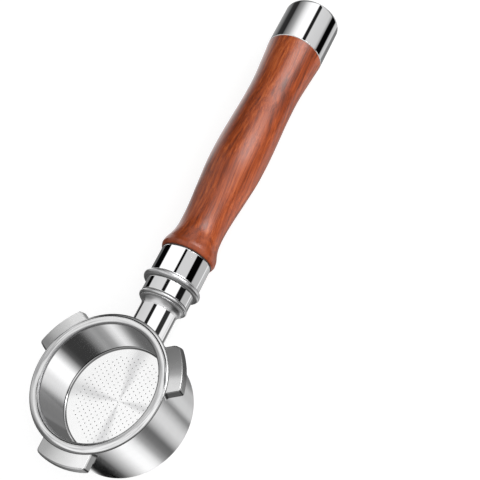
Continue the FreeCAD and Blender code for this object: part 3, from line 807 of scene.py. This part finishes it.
# end cap
cap_loop = [(CAP_START, CAP_CAVITY_R), (CAP_START, CAP_R - 0.2), (CAP_START + 0.06, CAP_R - 0.06), (CAP_START + 0.2, CAP_R),
            (CAP_START + 6, CAP_R), (CAP_START + 14, CAP_R)] \
    + arc_pts((CAP_END - CAP_EDGE, CAP_R - CAP_EDGE), CAP_EDGE, 90, 4, 22) + [
    (CAP_END - 0.0, 10.4), (CAP_END, 8.0), (CAP_END, 4.0), (CAP_END, 0.0),
    (ROD_END + 1.0, 0.0), (ROD_END + 1.0, ROD_R + 0.05), (CAP_CAVITY_END, ROD_R + 0.05), (CAP_CAVITY_END, CAP_CAVITY_R)]
piece(lathe("cap_shell", cap_loop, segs=256), "holder", "end_cap", M_CAP)

# wooden grip
w0 = FERRULE_END + GASKET_T
edge = []
p0, p1, p2 = (w0, FERRULE_R + 0.1), (w0 + 0.55, 12.62), (GRIP[0][0], GRIP[0][1])
for i in range(9):
    f = i / 9
    edge.append(((1 - f) ** 2 * p0[0] + 2 * f * (1 - f) * p1[0] + f * f * p2[0],
                 (1 - f) ** 2 * p0[1] + 2 * f * (1 - f) * p1[1] + f * f * p2[1]))
grip_loop = [(SPIGOT_START, 8.0), (SPIGOT_START, SPIGOT_R - 0.3), (SPIGOT_START + 0.3, SPIGOT_R), (w0, SPIGOT_R)] + edge \
    + spline(GRIP, 150) + [
    (WOOD_END, REAR_SPIGOT_R), (REAR_SPIGOT_END - 0.3, REAR_SPIGOT_R), (REAR_SPIGOT_END, REAR_SPIGOT_R - 0.3),
    (REAR_SPIGOT_END, BUSH_R), (REAR_SPIGOT_END - BUSH_L, BUSH_R), (REAR_SPIGOT_END - BUSH_L, WOOD_BORE_R),
    (64.8 + BUSH_L, WOOD_BORE_R), (64.8 + BUSH_L, BUSH_R), (64.8, BUSH_R), (64.8, 8.0)]
piece(lathe("grip_wood", grip_loop, segs=256), "holder", "wood_grip", M_WOOD)


# arm: a round bar that flows into the ring with a small fillet
def build_neck():
    segs = 192
    R = 29.17
    rows = []

    def hit(r, a):
        """Where a line along the handle at radius r and angle a meets the ring's outer wall."""
        y = r * math.cos(a)
        # point on the line: H0 + s H + y V + u HU ; x^2 + y^2 = R^2
        u = r * math.sin(a)
        x = math.sqrt(R * R - y * y)
        return (x - u * HU.x) / H.x
    fillet = 1.1
    steps = 9
    for k in range(steps + 1):
        f = k / steps
        ang = math.radians(90 * f)
        # quarter round: radius falls from r+fillet to r as s grows by fillet
        dr = fillet * (1 - math.sin(ang))
        ds = fillet * (1 - math.cos(ang))
        rows.append([(hit(NECK_R + dr, 2 * math.pi * i / segs) + ds, NECK_R + dr) for i in range(segs)])
    rows.append([(rows[-1][i][0] + 0.04, NECK_R) for i in range(segs)])
    flat = 31.6
    rows.append([(max(flat, rows[-1][i][0] + 0.4), NECK_R) for i in range(segs)])
    for s in (34.0, 37.0, 40.0, 41.16):
        rows.append([(float(s), NECK_R)] * segs)
    for s, r in spline([(41.2, NECK_R), (42.6, NECK_R + 0.22), (43.6, NECK_R + 0.75), (44.3, NECK_R + 1.4),
                        (NECK_END - 0.25, FLARE_R)], 14):
        rows.append([(s, r)] * segs)
    rows.append([(NECK_END, FLARE_R)] * segs)
    rows.append([(NECK_END, 4.2)] * segs)
    rows.append([(30.5, 4.2)] * segs)
    bm = bmesh.new()
    vrows = []
    for row in rows:
        vr = []
        for i, (s, r) in enumerate(row):
            a = 2 * math.pi * i / segs
            vr.append(bm.verts.new((HANDLE @ Vector((s, r * math.cos(a), r * math.sin(a)))) * MM))
        vrows.append(vr)
    # socket side: inner cone back to the first row, then into the ring's socket
    last = bm.verts.new((HANDLE @ Vector((30.5, 0, 0))) * MM)
    inner = []
    for i in range(segs):
        a = 2 * math.pi * i / segs
        inner.append(bm.verts.new((HANDLE @ Vector((27.9, 6.1 * math.cos(a), 6.1 * math.sin(a)))) * MM))
    mid = []
    for i in range(segs):
        a = 2 * math.pi * i / segs
        mid.append(bm.verts.new((HANDLE @ Vector((hit(6.1, a), 6.1 * math.cos(a), 6.1 * math.sin(a)))) * MM))
    tip = bm.verts.new((HANDLE @ Vector((27.9, 0, 0))) * MM)
    for k in range(len(vrows) - 1):
        for i in range(segs):
            j = (i + 1) % segs
            bm.faces.new((vrows[k][i], vrows[k][j], vrows[k + 1][j], vrows[k + 1][i]))
    for i in range(segs):
        j = (i + 1) % segs
        bm.faces.new((vrows[-1][i], vrows[-1][j], last))
        bm.faces.new((mid[i], mid[j], vrows[0][j], vrows[0][i]))
        bm.faces.new((inner[i], inner[j], mid[j], mid[i]))
        bm.faces.new((tip, inner[j], inner[i]))
    bmesh.ops.recalc_face_normals(bm, faces=bm.faces)
    me = bpy.data.meshes.new("arm_bar")
    bm.to_mesh(me)
    bm.free()
    finish_mesh(me)
    return link("arm_bar", me)


piece(build_neck(), "holder", "neck_arm", M_CHROME)

# ------------------------------------------------------------------ basket
SHEET, BASKET_R, BASKET_LOW_R, STRAIGHT_Z = 0.5, 25.5, 24.7, 24.0
FLOOR_Z, FLOOR_FILLET, RIM_TOP_Z, RIM_R, ROLL_R, LIP_R = 12.0, 1.2, 34.6, 30.0, 0.62, 1.1
PLATE_R = 21.6
PITCH, HOLE_TURN, HOLE_SHIFT, FIELD_R = 2.0, math.radians(-37.0), (-0.35, 0.05), 20.4
HOLE_TOP, HOLE_IN, DIMPLE = 0.26, 0.21, 0.08


def rim_crown():
    """The rolled rim seen in section: a crowned top from the inner wall to a round outer edge."""
    rc, zc, a, b = (BASKET_R + RIM_R) / 2, RIM_TOP_Z - 1.0, (RIM_R - BASKET_R) / 2, 1.0
    out = []
    n = 44
    for i in range(n + 1):
        f = math.pi * (1 - i / n)
        out.append((rc + a * math.cos(f), zc + b * math.sin(f)))
    low = RIM_TOP_Z - 2 * ROLL_R
    out += arc_pts((RIM_R - (zc - low), zc), zc - low, -8, -90, 6)
    out.append((RIM_R - ROLL_R, low))
    return out


def build_basket():
    t = SHEET
    segs = 288
    lip_c = (BASKET_R + LIP_R, RIM_TOP_Z - LIP_R)
    roll_c = (RIM_R - ROLL_R, RIM_TOP_Z - ROLL_R)
    foot_c = (BASKET_LOW_R - FLOOR_FILLET, FLOOR_Z + FLOOR_FILLET)
    path = [(PLATE_R, FLOOR_Z), (PLATE_R + 0.9, FLOOR_Z)]
    path += arc_pts(foot_c, FLOOR_FILLET, -90, 0, 12)
    for f in (0.25, 0.5, 0.75):
        path.append((BASKET_LOW_R + (BASKET_R - BASKET_LOW_R) * f, foot_c[1] + (RIM_TOP_Z - 1.0 - foot_c[1]) * f))
    path += rim_crown()
    path += arc_pts(roll_c, ROLL_R - t, -90, 90, 8)
    path += arc_pts(lip_c, LIP_R - t, 90, 180, 10)
    path += arc_pts(foot_c, FLOOR_FILLET + t, 0, -90, 12)
    path += [(PLATE_R, FLOOR_Z - t)]
    path = held([(z, r) for r, z in clean(path)], closed=False)
    path = [(r, z) for z, r in path]
    bm = bmesh.new()
    rows = []
    for r, z in path:
        rows.append([bm.verts.new((r * math.cos(2 * math.pi * i / segs) * MM, r * math.sin(2 * math.pi * i / segs) * MM, z * MM))
                     for i in range(segs)])
    for k in range(len(rows) - 1):
        for i in range(segs):
            j = (i + 1) % segs
            bm.faces.new((rows[k][i], rows[k][j], rows[k + 1][j], rows[k + 1][i]))
    # pierced floor
    holes = []
    ct, st = math.cos(HOLE_TURN), math.sin(HOLE_TURN)
    for i in range(-12, 13):
        for j in range(-12, 13):
            u, v = (i + HOLE_SHIFT[0]) * PITCH, (j + HOLE_SHIFT[1]) * PITCH
            x, y = u * ct - v * st, u * st + v * ct
            if math.hypot(x, y) <= FIELD_R:
                holes.append((x, y))
    print("holes", len(holes))
    hs = 14

    def plate(z, hole_r, top):
        pts = [Vector((PLATE_R * math.cos(2 * math.pi * i / segs), PLATE_R * math.sin(2 * math.pi * i / segs))) for i in range(segs)]
        faces = [list(range(segs))]
        for x, y in holes:
            base = len(pts)
            for i in range(hs):
                a = 2 * math.pi * i / hs
                pts.append(Vector((x + hole_r * math.cos(a), y + hole_r * math.sin(a))))
            faces.append(list(range(base, base + hs)))
        vs, es, fs, ov, oe, of = delaunay_2d_cdt(pts, [], faces, 0, 1e-7)
        bv = [bm.verts.new((p.x * MM, p.y * MM, z * MM)) for p in vs]
        for f, src in zip(fs, of):
            if src == [0]:
                try:
                    bm.faces.new([bv[i] for i in (f if top else list(reversed(f)))])
                except ValueError:
                    pass
    plate(FLOOR_Z, HOLE_TOP, True)
    plate(FLOOR_Z - t, HOLE_IN, False)
    for x, y in holes:
        rings = []
        for r, z in ((HOLE_TOP, FLOOR_Z), (HOLE_TOP - 0.05, FLOOR_Z - 0.035), (HOLE_IN + 0.02, FLOOR_Z - DIMPLE),
                     (HOLE_IN, FLOOR_Z - DIMPLE - 0.04), (HOLE_IN, FLOOR_Z - t)):
            rings.append([bm.verts.new(((x + r * math.cos(2 * math.pi * i / hs)) * MM, (y + r * math.sin(2 * math.pi * i / hs)) * MM, z * MM))
                          for i in range(hs)])
        for k in range(len(rings) - 1):
            for i in range(hs):
                j = (i + 1) % hs
                bm.faces.new((rings[k][i], rings[k + 1][i], rings[k + 1][j], rings[k][j]))
    bmesh.ops.remove_doubles(bm, verts=bm.verts, dist=2e-6)
    bmesh.ops.recalc_face_normals(bm, faces=bm.faces)
    open_edges = sum(1 for e in bm.edges if len(e.link_faces) != 2)
    print("basket open edges", open_edges, "faces", len(bm.faces))
    me = bpy.data.meshes.new("basket_shell")
    bm.to_mesh(me)
    bm.free()
    finish_mesh(me, 35.0)
    return link("basket_shell", me)


piece(build_basket(), "basket", "filter_basket", M_BASKET)
